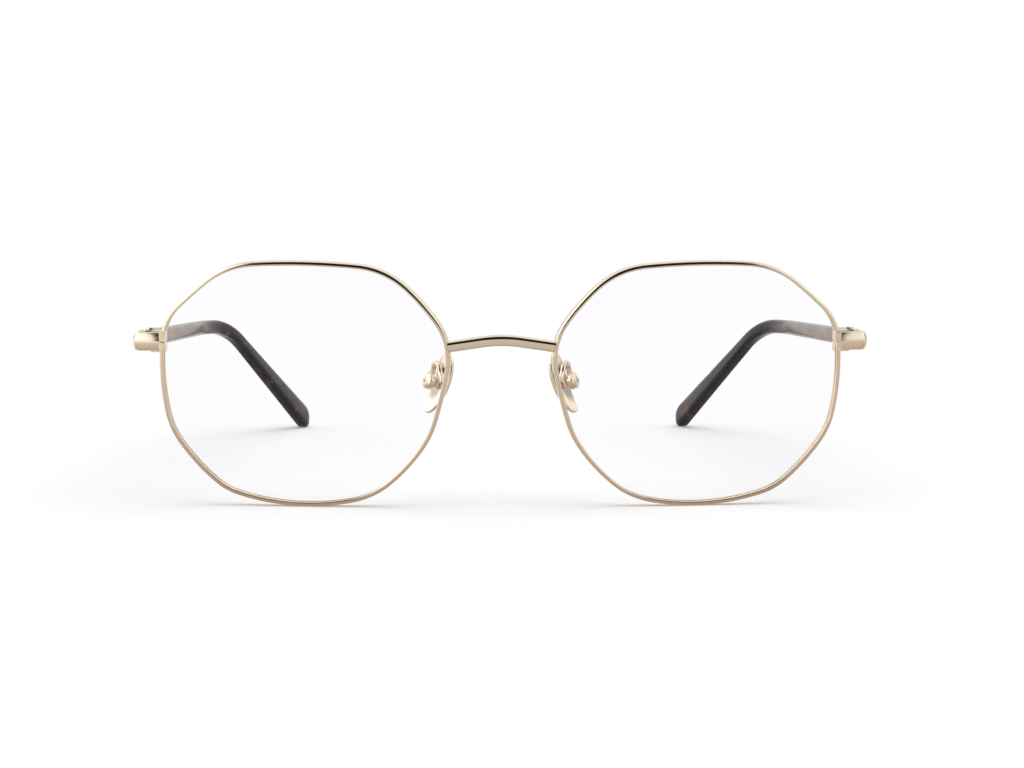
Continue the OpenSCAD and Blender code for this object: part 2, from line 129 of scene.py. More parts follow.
def finish_piece(bm, name, body, material, place=Matrix.Identity(4), replaced=(),
                 flat_faces=False):
    """Puts a shape drawn in millimetres in its place and makes it a piece that rides on its body."""
    bmesh.ops.remove_doubles(bm, verts=bm.verts, dist=SAME_SPOT)
    bmesh.ops.transform(bm, matrix=TO_FRAME @ place, verts=bm.verts)
    bmesh.ops.recalc_face_normals(bm, faces=bm.faces)
    for face in bm.faces:
        face.smooth = True
    mesh = bpy.data.meshes.new(name)
    bm.to_mesh(mesh)
    bm.free()
    mesh.set_sharp_from_angle(angle=SHARP_ANGLE)
    mesh.materials.append(material)
    piece = bpy.data.objects.new(name, mesh)
    bpy.context.scene.collection.objects.link(piece)
    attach(piece, body)
    # Weighted normals keep flat faces flat beside their rounded edges
    if flat_faces:
        piece.modifiers.new("even_shading", "WEIGHTED_NORMAL").keep_sharp = True
    if replaced:
        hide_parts(*replaced)


def new_material(name):
    material = bpy.data.materials.new(name)
    material.use_nodes = True
    return material, material.node_tree.nodes, material.node_tree.links


def feed(links, value, socket):
    """Links a varying value to a socket, or sets a plain number on it."""
    if isinstance(value, bpy.types.NodeSocket):
        links.new(value, socket)
    else:
        socket.default_value = value


def noise(nodes, links, place, scale, detail=2.0, distortion=0.0):
    texture = nodes.new("ShaderNodeTexNoise")
    texture.inputs["Scale"].default_value = scale
    texture.inputs["Detail"].default_value = detail
    texture.inputs["Distortion"].default_value = distortion
    links.new(place, texture.inputs["Vector"])
    return texture.outputs["Fac"]


def ranged(nodes, links, source, start, end, low, high, easing="LINEAR"):
    """A value that goes from low to high while the source goes from start to end."""
    step = nodes.new("ShaderNodeMapRange")
    step.interpolation_type = easing
    links.new(source, step.inputs["Value"])
    for name, value in (("From Min", start), ("From Max", end), ("To Min", low), ("To Max", high)):
        feed(links, value, step.inputs[name])
    return step.outputs["Result"]


def plating_group():
    """Colour, roughness and normal of rubbed plating: faint clouds, wiping marks and fine pits."""
    group = bpy.data.node_groups.new("plating_wear", "ShaderNodeTree")
    face = group.interface
    for name, kind in (("Bright", "NodeSocketColor"), ("Worn", "NodeSocketColor"),
                       ("Polish", "NodeSocketFloat"), ("Dull", "NodeSocketFloat")):
        face.new_socket(name, in_out="INPUT", socket_type=kind)
    for name, kind in (("Color", "NodeSocketColor"), ("Roughness", "NodeSocketFloat"),
                       ("Normal", "NodeSocketVector")):
        face.new_socket(name, in_out="OUTPUT", socket_type=kind)
    nodes, links = group.nodes, group.links
    given, out = nodes.new("NodeGroupInput"), nodes.new("NodeGroupOutput")
    place = nodes.new("ShaderNodeTexCoord").outputs["Object"]
    tint = nodes.new("ShaderNodeMix")
    tint.data_type = "RGBA"
    links.new(noise(nodes, links, place, 260, 5), tint.inputs["Factor"])
    links.new(given.outputs["Bright"], tint.inputs["A"])
    links.new(given.outputs["Worn"], tint.inputs["B"])
    links.new(tint.outputs["Result"], out.inputs["Color"])
    wiping = noise(nodes, links, place, 900, 3, 1.5)
    gloss = ranged(nodes, links, wiping, 0.35, 0.7, given.outputs["Polish"], given.outputs["Dull"])
    links.new(gloss, out.inputs["Roughness"])
    bump = nodes.new("ShaderNodeBump")
    bump.inputs["Strength"].default_value = 0.03
    bump.inputs["Distance"].default_value = 0.00002
    links.new(noise(nodes, links, place, 5200), bump.inputs["Height"])
    links.new(bump.outputs["Normal"], out.inputs["Normal"])
    return group


PLATING = plating_group()


def plated(name, bright, worn, polish, dull):
    """Plated metal between two colours, and between two degrees of roughness."""
    material, nodes, links = new_material(name)
    shader = nodes["Principled BSDF"]
    shader.inputs["Metallic"].default_value = 1.0
    wear = nodes.new("ShaderNodeGroup")
    wear.node_tree = PLATING
    wear.inputs["Bright"].default_value = (*bright, 1)
    wear.inputs["Worn"].default_value = (*worn, 1)
    wear.inputs["Polish"].default_value = polish
    wear.inputs["Dull"].default_value = dull
    links.new(wear.outputs["Color"], shader.inputs["Base Color"])
    links.new(wear.outputs["Roughness"], shader.inputs["Roughness"])
    links.new(wear.outputs["Normal"], shader.inputs["Normal"])
    return material


frame_gold = plated("champagne_gold", (0.80, 0.70, 0.55), (0.76, 0.65, 0.50), 0.07, 0.15)

RIM_ARCS = outline_arcs(RIM_SIDES, RIM_CORNERS)
RIM_STEP = 0.5
RIM_EDGE, LIP_EDGE, GROOVE_EDGE = 0.33, 0.24, 0.05
rim_section = [(0, 0), (0, RIM_DEPTH), (WIRE, RIM_DEPTH), (WIRE, GROOVE_START + GROOVE_WIDTH),
               (WIRE - GROOVE_DEPTH, GROOVE_START + GROOVE_WIDTH),
               (WIRE - GROOVE_DEPTH, GROOVE_START), (WIRE, GROOVE_START), (WIRE, 0)]

for side, hand in SIDES.items():
    bm = bmesh.new()
    corners = section_at(bm, RIM_ARCS[0], RIM_ARCS[0][2], rim_section)
    bm.faces.new(corners)
    # Rounded well on the outside, less on the lips over the lens, and least in the groove
    bmesh.ops.bevel(bm, geom=corners[:2], offset=RIM_EDGE, offset_type="OFFSET", segments=5,
                    profile=0.5, affect="VERTICES", material=-1)
    inner = [c for c in corners if c.is_valid]
    for edge, rounded in ((LIP_EDGE, [inner[0], inner[-1]]), (GROOVE_EDGE, inner[1:-1])):
        bmesh.ops.bevel(bm, geom=rounded, offset=edge, offset_type="OFFSET", segments=3, profile=0.5,
                        affect="VERTICES", material=-1)
    ring = bm.verts[:] + bm.edges[:]
    bmesh.ops.delete(bm, geom=bm.faces[:], context="FACES_ONLY")
    bend_round(bm, ring, RIM_ARCS, RIM_STEP)
    bmesh.ops.remove_doubles(bm, verts=bm.verts, dist=SAME_SPOT)
    curve_front(bm)
    bmesh.ops.transform(bm, matrix=LENS_PLACE, verts=bm.verts)
    # The wire is cut above and below the lock, and its outer piece between the cuts taken away
    for level in (-1, 1):
        bmesh.ops.bisect_plane(bm, geom=bm.verts[:] + bm.edges[:] + bm.faces[:], plane_no=(0, 0, 1),
                               plane_co=(0, 0, HINGE_HEIGHT + level * LOCK_HEIGHT / 2))
    gone = [f for f in bm.faces if f.calc_center_median().x > LENS_WIDTH
            and abs(f.calc_center_median().z - HINGE_HEIGHT) < LOCK_HEIGHT / 2]
    bmesh.ops.delete(bm, geom=gone, context="FACES")
    bmesh.ops.holes_fill(bm, edges=[e for e in bm.edges if e.is_boundary], sides=0)
    finish_piece(bm, "rim_wire_" + side, "front", frame_gold, hand, ["rim_" + side])

# The lenses: thin clear plastic discs, dished like the rims and cut to their outline. The edge sits in
# the rim's groove, where the rim lock clamps it.
LENS_CLEARANCE = 0.03
LENS_INSET = WIRE - GROOVE_DEPTH + LENS_CLEARANCE
LENS_FRONT = GROOVE_START + LENS_CLEARANCE
LENS_BACK = GROOVE_START + GROOVE_WIDTH - LENS_CLEARANCE
LENS_RINGS, LENS_STEP = 14, 0.8


def mixed(nodes, links, share, first, second):
    """The first shader, giving way to the second by the share."""
    mix = nodes.new("ShaderNodeMixShader")
    links.new(share, mix.inputs["Fac"])
    links.new(first, mix.inputs[1])
    links.new(second, mix.inputs[2])
    return mix.outputs["Shader"]


def clear_material():
    """Clear plastic with a faint film of grease, which lets light through where shadows are cast."""
    material, nodes, links = new_material("clear_lens")
    shader = nodes["Principled BSDF"]
    shader.inputs["Base Color"].default_value = (0.975, 0.972, 0.995, 1)
    shader.inputs["Transmission Weight"].default_value = 1.0
    shader.inputs["IOR"].default_value = 1.49
    shader.inputs["Specular Tint"].default_value = (0.16, 0.18, 0.24, 1)
    film = noise(nodes, links, nodes.new("ShaderNodeTexCoord").outputs["Object"], 60, 4)
    links.new(ranged(nodes, links, film, 0.4, 0.8, 0.0, 0.02), shader.inputs["Roughness"])
    clear = nodes.new("ShaderNodeBsdfTransparent")
    clear.inputs["Color"].default_value = (0.985, 0.985, 0.995, 1)
    shadow = nodes.new("ShaderNodeLightPath").outputs["Is Shadow Ray"]
    links.new(mixed(nodes, links, shadow, shader.outputs["BSDF"], clear.outputs["BSDF"]),
              nodes["Material Output"].inputs["Surface"])
    return material


def grown(bm, edges):
    """Draws edges out once, and gives the new vertices and edges, which still lie on the old ones."""
    made = bmesh.ops.extrude_edge_only(bm, edges=edges)["geom"]
    verts = [g for g in made if isinstance(g, bmesh.types.BMVert)]
    fresh = set(verts)
    return verts, [g for g in made if isinstance(g, bmesh.types.BMEdge) and fresh.issuperset(g.verts)]


def dished_disc(arcs, edge_section, rings, step):
    """A disc of the outline's shape: its edge is bent round, and both faces drawn in to the middle."""
    bm = bmesh.new()
    ring = section_at(bm, arcs[0], arcs[0][2], edge_section)
    ring += [bm.edges.new(pair) for pair in zip(ring, ring[1:])]
    bend_round(bm, ring, arcs, step)
    bmesh.ops.remove_doubles(bm, verts=bm.verts, dist=SAME_SPOT)
    edge = [e for e in bm.edges if e.is_boundary]
    for i in range(rings, 1, -1):
        inner, edge = grown(bm, edge)
        bmesh.ops.scale(bm, vec=((i - 1) / i, 1, (i - 1) / i), verts=inner)
    bmesh.ops.holes_fill(bm, edges=edge, sides=0)
    bmesh.ops.poke(bm, faces=[f for f in bm.faces if len(f.verts) > 4])
    return bm


lens_clear = clear_material()
for side, hand in SIDES.items():
    bm = dished_disc(RIM_ARCS, [(LENS_INSET, LENS_FRONT), (LENS_INSET, LENS_BACK)],
                     LENS_RINGS, LENS_STEP)
    curve_front(bm)
    finish_piece(bm, "clear_lens_" + side, "front", lens_clear, hand @ LENS_PLACE,
                 ["lens_" + side])

# The bridge: one solid bar, milled flat on top and bottom and rounded in front, that rises and bows
# forward between the rims and is soldered to them.
BRIDGE_HEIGHT, BRIDGE_DEPTH, BRIDGE_BOW = 1.95, 2.2, 1.9
BRIDGE_DROP, BRIDGE_BACK, BRIDGE_PITCH = 1.17, 1.3, radians(28)
BRIDGE_CORNER, BRIDGE_STEPS = 0.62, 24
PEAK_RADIUS, FLANK_SLOPE = 20.9, radians(9.8)
# Each end stops this far short of half the bridge width, at the face of the rim
BRIDGE_SHORT = 0.35
BRIDGE_END = BRIDGE_WIDTH / 2 - BRIDGE_SHORT
# The section is drawn with its depth along x and its height along y, and this stands it up
SECTION_UP = Matrix(((0, 0, 1, 0), (1, 0, 0, 0), (0, 1, 0, 0), (0, 0, 0, 1)))
bm = bmesh.new()
bmesh.ops.create_grid(bm, x_segments=1, y_segments=1, size=0.5)
bmesh.ops.scale(bm, vec=(BRIDGE_DEPTH, BRIDGE_HEIGHT, 1), verts=bm.verts)
bmesh.ops.bevel(bm, geom=bm.verts[:], offset=BRIDGE_CORNER, offset_type="OFFSET", segments=6,
                profile=0.5, affect="VERTICES", material=-1)
arc_start = Matrix.Rotation(-FLANK_SLOPE, 4, "Y") @ Matrix.Translation((0, 0, PEAK_RADIUS))
bmesh.ops.transform(bm, matrix=arc_start @ Matrix.Rotation(LEAN - BRIDGE_PITCH, 4, "X") @ SECTION_UP,
                    verts=bm.verts)
section = bm.verts[:] + bm.edges[:]
bmesh.ops.delete(bm, geom=bm.faces[:], context="FACES_ONLY")
bmesh.ops.spin(bm, geom=section, cent=(0, 0, 0), axis=(0, 1, 0), angle=2 * FLANK_SLOPE,
               steps=BRIDGE_STEPS)
flank = (BRIDGE_END - PEAK_RADIUS * sin(FLANK_SLOPE)) / cos(FLANK_SLOPE)
for sign in (-1, 1):
    end = [e for e in bm.edges if e.is_boundary and e.verts[0].co.x * sign > 0]
    bmesh.ops.translate(bm, vec=(sign * flank * cos(FLANK_SLOPE), 0, -flank * sin(FLANK_SLOPE)),
                        verts=grown(bm, end)[0])
bmesh.ops.holes_fill(bm, edges=[e for e in bm.edges if e.is_boundary], sides=0)
bridge_place = (Matrix.Translation((0, BRIDGE_BACK, HINGE_HEIGHT - BRIDGE_DROP))
                @ Matrix.Rotation(BRIDGE_PITCH, 4, "X")
                @ Matrix.Translation((0, 0, BRIDGE_BOW - PEAK_RADIUS)))
finish_piece(bm, "bridge_bar", "front", frame_gold, bridge_place, ["bridge"])

# The endpieces: crowned bars of the same metal, soldered to the upper half of the rim lock, that turn
# back through a tight bend to the hinges.
# Outermost point of the rim, and how far the endpiece reaches out from it and back from its front
SIDE_X, ENDPIECE_REACH = 62.2709, 5.3
ENDPIECE_FRONT, ENDPIECE_LENGTH = 5.6, 7.4
ENDPIECE_HEIGHT, ENDPIECE_THICKNESS, ENDPIECE_BULGE = 3.45, 1.4, 0.55
ENDPIECE_EDGE, ENDPIECE_BEND = 0.45, 1.9
RIM_PLAY, PLATE_START, PLATE_GAP = 0.1, 0.1, 0.35
OUTER_X, HINGE_Y = SIDE_X + ENDPIECE_REACH, ENDPIECE_FRONT + ENDPIECE_LENGTH
ENDPIECE_START, ENDPIECE_STOP = SIDE_X + RIM_PLAY, HINGE_Y + PLATE_START - PLATE_GAP
CROWN_CUTS, SWEEP_STEPS, BEND_STEPS, BACK_STEPS = 19, 8, 16, 8
# The bar sweeps back gently from the first direction to the second, and then turns through the bend
FIRST_SWEEP, SWEEP = radians(7), radians(19)


def bar_section(bm, height, thickness, bulge, edge):
    """Crowned bar section: x runs out through the bulged face, z up."""
    bmesh.ops.create_grid(bm, x_segments=1, y_segments=1, size=0.5)
    bmesh.ops.scale(bm, vec=(thickness - bulge, height, 1), verts=bm.verts)
    bmesh.ops.translate(bm, vec=(-(thickness + bulge) / 2, 0, 0), verts=bm.verts)
    outer = [e for e in bm.edges if all(v.co.x > -bulge - SAME_SPOT for v in e.verts)]
    bmesh.ops.subdivide_edges(bm, edges=outer, cuts=CROWN_CUTS)
    crown = ((height / 2) ** 2 + bulge ** 2) / (2 * bulge)
    for v in bm.verts:
        if v.co.x > -bulge - SAME_SPOT:
            v.co.x = sqrt(crown ** 2 - v.co.y ** 2) - crown
    sharp = [v for v in bm.verts if abs(abs(v.co.y) - height / 2) < SAME_SPOT]
    bmesh.ops.bevel(bm, geom=sharp, offset=edge, offset_type="OFFSET", segments=4, profile=0.5,
                    affect="VERTICES", material=-1)
    bmesh.ops.rotate(bm, matrix=Matrix.Rotation(pi / 2, 3, "X"), verts=bm.verts)
    ring = bm.verts[:] + bm.edges[:]
    bmesh.ops.delete(bm, geom=bm.faces[:], context="FACES_ONLY")
    return ring


sweep_end = OUTER_X - ENDPIECE_BEND * (1 - sin(SWEEP))
sweep_radius = (sweep_end - ENDPIECE_START) / (sin(SWEEP) - sin(FIRST_SWEEP))
sweep_centre = Vector((ENDPIECE_START - sweep_radius * sin(FIRST_SWEEP),
                       ENDPIECE_FRONT + sweep_radius * cos(FIRST_SWEEP), 0))
bend_centre = sweep_centre + Vector((sin(SWEEP), -cos(SWEEP), 0)) * (sweep_radius - ENDPIECE_BEND)
for side, hand in SIDES.items():
    bm = bmesh.new()
    ring = bar_section(bm, ENDPIECE_HEIGHT, ENDPIECE_THICKNESS, ENDPIECE_BULGE, ENDPIECE_EDGE)
    bmesh.ops.transform(bm, matrix=Matrix.Translation((ENDPIECE_START, ENDPIECE_FRONT, 0))
                        @ Matrix.Rotation(FIRST_SWEEP - pi / 2, 4, "Z"), verts=bm.verts)
    for centre, angle, steps in ((sweep_centre, SWEEP - FIRST_SWEEP, SWEEP_STEPS),
                                 (bend_centre, pi / 2 - SWEEP, BEND_STEPS)):
        ring = bmesh.ops.spin(bm, geom=ring, cent=centre, axis=(0, 0, 1), angle=angle,
                              steps=steps)["geom_last"]
    ring = [g for g in ring if isinstance(g, bmesh.types.BMEdge)]
    for i in range(BACK_STEPS):
        verts, ring = grown(bm, ring)
        bmesh.ops.translate(bm, vec=(0, (ENDPIECE_STOP - bend_centre.y) / BACK_STEPS, 0), verts=verts)
    bmesh.ops.holes_fill(bm, edges=[e for e in bm.edges if e.is_boundary], sides=0)
    finish_piece(bm, "endpiece_bar_" + side, "front", frame_gold,
                 hand @ Matrix.Translation((0, 0, HINGE_HEIGHT)), ["endpiece_" + side], flat_faces=True)

# The rim locks, hinges, pad cups and eyes: small milled and soldered pieces of the same plated metal,
# with their sharp edges tumbled off. The screws are turned, with a slot across the head.
screw_gold = plated("screw_gold", (0.74, 0.65, 0.52), (0.66, 0.57, 0.45), 0.16, 0.30)
pad_gold = plated("pad_gold", (0.86, 0.77, 0.62), (0.80, 0.70, 0.55), 0.06, 0.14)
BLOCK_EDGE, SCREW_EDGE, HINGE_PLATE_EDGE, EYE_EDGE = 0.08, 0.05, 0.12, 0.06
FLAT_ANGLE, TUMBLED_ANGLE = radians(1), radians(35)


def tumbled(node, body, material, edge):
    """A CAD piece with its edges rounded off."""
    bm = bmesh.new()
    bm.from_mesh(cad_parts[node].data)
    bmesh.ops.remove_doubles(bm, verts=bm.verts, dist=MM / 1000)
    bmesh.ops.dissolve_limit(bm, angle_limit=FLAT_ANGLE, verts=bm.verts, edges=bm.edges)
    edges = [e for e in bm.edges if len(e.link_faces) == 2 and e.calc_face_angle(0) > TUMBLED_ANGLE]
    bmesh.ops.bevel(bm, geom=edges, offset=edge * MM, offset_type="OFFSET", segments=2, profile=0.5,
                    affect="EDGES", clamp_overlap=True, material=-1)
    bmesh.ops.transform(bm, matrix=TO_FRAME.inverted(), verts=bm.verts)
    finish_piece(bm, node + "_piece", body, material, replaced=[node], flat_faces=True)


for side in SIDES:
    for part in ("rim_lock_upper_", "rim_lock_lower_", "hinge_front_", "pad_cup_"):
        tumbled(part + side, "front", frame_gold, BLOCK_EDGE)
    for part in ("rim_lock_screw_", "hinge_screw_", "pad_screw_"):
        tumbled(part + side, "front", screw_gold, SCREW_EDGE)
    tumbled("hinge_temple_" + side, "temple_" + side, frame_gold, HINGE_PLATE_EDGE)
    tumbled("pad_mount_" + side, "nose_pad_" + side, pad_gold, EYE_EDGE)

# The pad arms: thin round wire soldered to the back of each rim, bent over in a loop and down to the
# cup, so that the wearer's optician can turn the pad.
ARM_WIRE = 1.0
# The middle of the pad, and the arm's ends and turning points
PAD_CENTRE = Vector((BRIDGE_WIDTH / 2 + 0.8, 9, HINGE_HEIGHT - 8.2))
ARM_ROOT = Vector((BRIDGE_WIDTH / 2 + 0.4, 2, HINGE_HEIGHT - 8))
ARM_RISE = Vector((BRIDGE_WIDTH / 2 + 1.2, 4.2, HINGE_HEIGHT - 5.6))
ARM_FALL = Vector((BRIDGE_WIDTH / 2 + 2.5, 7.4, HINGE_HEIGHT - 5.6))
ARM_END = PAD_CENTRE + Vector((2.13, -1.42, 1.66))
LOOP_STEPS = 8
loop_across = (ARM_FALL - ARM_RISE) / 2
route = [ARM_ROOT, (ARM_ROOT + ARM_RISE) / 2]
route += [(ARM_RISE + ARM_FALL) / 2 - loop_across * cos(pi * i / LOOP_STEPS)
          + Vector((0, 0, loop_across.length * sin(pi * i / LOOP_STEPS)))
          for i in range(LOOP_STEPS + 1)]
route += [(ARM_FALL + ARM_END) / 2, ARM_END]
for side, hand in SIDES.items():
    wire = bpy.data.curves.new("pad_arm_route", "CURVE")
    wire.dimensions = "3D"
    wire.bevel_depth = ARM_WIRE / 2
    wire.bevel_resolution = 6
    wire.use_fill_caps = True
    line = wire.splines.new("NURBS")
    line.points.add(len(route) - 1)
    for point, spot in zip(line.points, route):
        point.co = (*spot, 1)
    line.order_u = 4
    line.use_endpoint_u = True
    line.resolution_u = 8
    holder = bpy.data.objects.new("pad_arm_route", wire)
    bm = bmesh.new()
    bm.from_mesh(holder.to_mesh())
    bpy.data.objects.remove(holder)
    finish_piece(bm, "pad_arm_wire_" + side, "front", frame_gold, hand,
                 ["pad_arm_" + side])

# The nose pads: dished shells of polished metal with rounded edges, each soldered to an eye that rocks
# on the screw of its cup.
PAD_LENGTH, PAD_WIDTH, PAD_THICKNESS, PAD_CURVE = 11.6, 6.0, 0.7, 16.0
PAD_EDGE, PAD_SHARP_ANGLE, PAD_RINGS, PAD_STEP = 0.26, radians(60), 8, 0.3
PAD_LEAN, PAD_SPLAY = radians(21), radians(26)
PAD_SIDES = [(-6, PAD_WIDTH / 2, 12), (90, PAD_LENGTH / 2, 8),
             (186, PAD_WIDTH / 2, 12), (270, PAD_LENGTH / 2, 8)]
PAD_CORNERS = [2.6, 2.6, 1.5, 1.5]
PAD_PLACE = (Matrix.Translation(PAD_CENTRE) @ Matrix.Rotation(-PAD_LEAN, 4, "Y")
             @ Matrix.Rotation(-PAD_SPLAY, 4, "Z"))
# From the flat disc, whose depth is y and width x, to the pad, whose depth is x and width y
PAD_STAND = Matrix(((0, 1, 0, 0), (1, 0, 0, 0), (0, 0, 1, 0), (0, 0, 0, 1)))
for side, hand in SIDES.items():
    bm = dished_disc(outline_arcs(PAD_SIDES, PAD_CORNERS), [(0, 0), (0, PAD_THICKNESS)],
                     PAD_RINGS, PAD_STEP)
    sharp = [e for e in bm.edges if e.calc_face_angle(0) > PAD_SHARP_ANGLE]
    bmesh.ops.bevel(bm, geom=sharp, offset=PAD_EDGE, offset_type="OFFSET", segments=4, profile=0.5,
                    affect="EDGES", clamp_overlap=True, material=-1)
    for v in bm.verts:
        dish = sqrt((PAD_CURVE - v.co.y) ** 2 - v.co.x ** 2 - v.co.z ** 2)
        v.co.y = PAD_CURVE - PAD_THICKNESS / 2 - dish
    finish_piece(bm, "nose_pad_shell_" + side, "nose_pad_" + side, pad_gold,
                 hand @ PAD_PLACE @ PAD_STAND, ["nose_pad_" + side], flat_faces=True)

# The temples: bars of polished tortoise acetate round a flat steel core, bent down and in behind the
# ear, and ending in a wide rounded tip. The core is sealed inside.
TEMPLE_THICKNESS, TEMPLE_HEIGHT, TIP_WIDTH = 2.6, 3.1, 6.0
TEMPLE_STRAIGHT, BEND_RADIUS, BEND_ANGLE, LEG = 87.0, 28.0, radians(31), 37.6281
TURN_START, TURN_RADIUS, TIP_TURN = 74.0, 55.0, radians(20)
TEMPLE_FALL = radians(1.7)
TEMPLE_START, TEMPLE_GAP = 3.0, 0.1
# Rounding of the section as a share of its half height and half thickness
TEMPLE_ROUNDING = 0.62
# The butt end beside the hinge plate: the shares of the bar's height and thickness, and the length over
# which it comes up to the full section
BUTT_TALL, BUTT_WIDE, BUTT_LENGTH = 0.9, 0.92, 0.25
# The round tip: its steps, the power of its height's share that its thickness follows, and the part
# of a step by which it stops short of its point
TIP_STEPS, TIP_POWER, TIP_CUT = 12, 0.45, 0.35
TEMPLE_ROOT = Vector((OUTER_X - TEMPLE_THICKNESS / 2, HINGE_Y + TEMPLE_START, HINGE_HEIGHT))
TEMPLE_PLACE = Matrix.Translation(TEMPLE_ROOT) @ Matrix.Rotation(-TEMPLE_FALL, 4, "X")


def toned(nodes, links, source, stops):
    """The colour at the source's value, between stops of a position and a colour each."""
    tones = nodes.new("ShaderNodeValToRGB")
    ramp = tones.color_ramp.elements
    for i, (spot, tone) in enumerate(stops):
        stop = ramp[i] if i < 2 else ramp.new(spot)
        stop.position = spot
        stop.color = (*tone, 1)
    links.new(source, tones.inputs["Fac"])
    return tones.outputs["Color"]


def combined(nodes, links, operation, *values):
    step = nodes.new("ShaderNodeMath")
    step.operation = operation
    for socket, value in zip(step.inputs, values):
        feed(links, value, socket)
    return step.outputs["Value"]


def tortoise_material():
    """Dark brown acetate with amber clouds drawn along the bar, more of them toward the hinges."""
    material, nodes, links = new_material("tortoise_acetate")
    shader = nodes["Principled BSDF"]
    shader.inputs["IOR"].default_value = 1.48
    shader.inputs["Specular IOR Level"].default_value = 0.08
    shader.inputs["Coat Roughness"].default_value = 0.08
    place = nodes.new("ShaderNodeTexCoord").outputs["Object"]
    stretch = nodes.new("ShaderNodeMapping")
    stretch.inputs["Scale"].default_value = (1.0, 0.45, 1.0)
    links.new(place, stretch.inputs["Vector"])
    clouds = noise(nodes, links, stretch.outputs["Vector"], 230, 4, 0.8)
    along = nodes.new("ShaderNodeSeparateXYZ")
    links.new(place, along.inputs["Vector"])
    paler = ranged(nodes, links, along.outputs["Y"], -0.06, 0.02, 0.25, -0.05)
    browns = [(0.0, (0.005, 0.004, 0.004)), (0.50, (0.008, 0.005, 0.004)),
              (0.60, (0.040, 0.016, 0.008)), (0.70, (0.15, 0.068, 0.028)), (1.0, (0.26, 0.13, 0.055))]
    links.new(toned(nodes, links, combined(nodes, links, "ADD", clouds, paler), browns),
              shader.inputs["Base Color"])
    # Painted sheen: the coat grows stronger where the bar is seen along its length
    slant = nodes.new("ShaderNodeLayerWeight")
    slant.inputs["Blend"].default_value = 0.5
    links.new(ranged(nodes, links, slant.outputs["Facing"], 0.55, 0.82, 0.02, 0.42),
              shader.inputs["Coat Weight"])
    rubbing = noise(nodes, links, place, 800)
    links.new(ranged(nodes, links, rubbing, 0.0, 1.0, 0.14, 0.30), shader.inputs["Roughness"])
    return material


tortoise = tortoise_material()


def temple_station(run):
    """Centre, heading and half height of the temple at a length along its side view."""
    bend = BEND_RADIUS * BEND_ANGLE
    if run <= TEMPLE_STRAIGHT:
        y, z, down, height = run, 0.0, 0.0, TEMPLE_HEIGHT
    elif run <= TEMPLE_STRAIGHT + bend:
        down = (run - TEMPLE_STRAIGHT) / BEND_RADIUS
        y, z = TEMPLE_STRAIGHT + BEND_RADIUS * sin(down), -BEND_RADIUS * (1 - cos(down))
        height = TEMPLE_HEIGHT
    else:
        down, rest = BEND_ANGLE, run - TEMPLE_STRAIGHT - bend
        y = TEMPLE_STRAIGHT + BEND_RADIUS * sin(down) + rest * cos(down)
        z = -BEND_RADIUS * (1 - cos(down)) - rest * sin(down)
        height = TEMPLE_HEIGHT + (TIP_WIDTH - TEMPLE_HEIGHT) * min(1, rest / LEG)
    turned = min(max(y - TURN_START, 0), TURN_RADIUS * sin(TIP_TURN))
    inward = TURN_RADIUS - sqrt(TURN_RADIUS ** 2 - turned ** 2)
    inward += max(0, y - TURN_START - turned) * tan(TIP_TURN)
    side_turn = asin(turned / TURN_RADIUS)
    return Vector((-inward, y, z)), down, side_turn, height / 2


length = TEMPLE_STRAIGHT + BEND_RADIUS * BEND_ANGLE + LEG
# Stations along the bar, each with its run and the shares of its height and thickness: coarse along the
# straight part, every millimetre from where the bar turns in, and rounded off at the tip
STRAIGHT_STEP = 3
runs = [TEMPLE_GAP + BUTT_LENGTH]
runs += [1 + STRAIGHT_STEP * i for i in range(int(TURN_START / STRAIGHT_STEP) + 1)]
runs += [TURN_START + i for i in range(int(length - TURN_START) + 1)] + [length]
stations = [(TEMPLE_GAP, BUTT_TALL, BUTT_WIDE)] + [(run, 1.0, 1.0) for run in runs]
for i in range(1, TIP_STEPS + 1):
    angle = pi / 2 * i / (TIP_STEPS + TIP_CUT)
    stations.append((length + TIP_WIDTH / 2 * sin(angle), cos(angle), cos(angle) ** TIP_POWER))


def station_place(run, tall, wide):
    """Where the section of unit half height and half thickness goes at a station."""
    centre, down, side_turn, half_height = temple_station(run)
    lateral = Vector((TEMPLE_THICKNESS / 2 / cos(side_turn) * wide, 0, 0))
    up = Vector((0, sin(down), cos(down))) * half_height * tall
    ahead = Vector((0, cos(down), -sin(down)))
    return Matrix.Translation(centre) @ Matrix((lateral, up, ahead)).transposed().to_4x4()


for side, hand in SIDES.items():
    bm = bmesh.new()
    bmesh.ops.create_grid(bm, x_segments=1, y_segments=1, size=1)
    bmesh.ops.bevel(bm, geom=bm.verts[:], offset=TEMPLE_ROUNDING, offset_type="OFFSET", segments=6,
                    profile=0.5, affect="VERTICES", material=-1)
    section, ring = bm.verts[:], bm.edges[:]
    bmesh.ops.delete(bm, geom=bm.faces[:], context="FACES_ONLY")
    here = station_place(*stations[0])
    bmesh.ops.transform(bm, matrix=here, verts=section)
    for station in stations[1:]:
        section, ring = grown(bm, ring)
        onward = station_place(*station)
        bmesh.ops.transform(bm, matrix=onward @ here.inverted(), verts=section)
        here = onward
    bmesh.ops.holes_fill(bm, edges=[e for e in bm.edges if e.is_boundary], sides=0)
    finish_piece(bm, "acetate_temple_" + side, "temple_" + side, tortoise,
                 hand @ TEMPLE_PLACE, ["temple_" + side])

# The temple cores: flat steel wire shot lengthwise into the acetate, which stiffens the temple and lets
# it be bent. They are sealed in and keep their CAD shape.
core_steel = plated("core_steel", (0.60, 0.58, 0.55), (0.50, 0.48, 0.45), 0.25, 0.45)
for side in SIDES:
    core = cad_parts["temple_core_" + side]
    core.data.materials.clear()
    core.data.materials.append(core_steel)
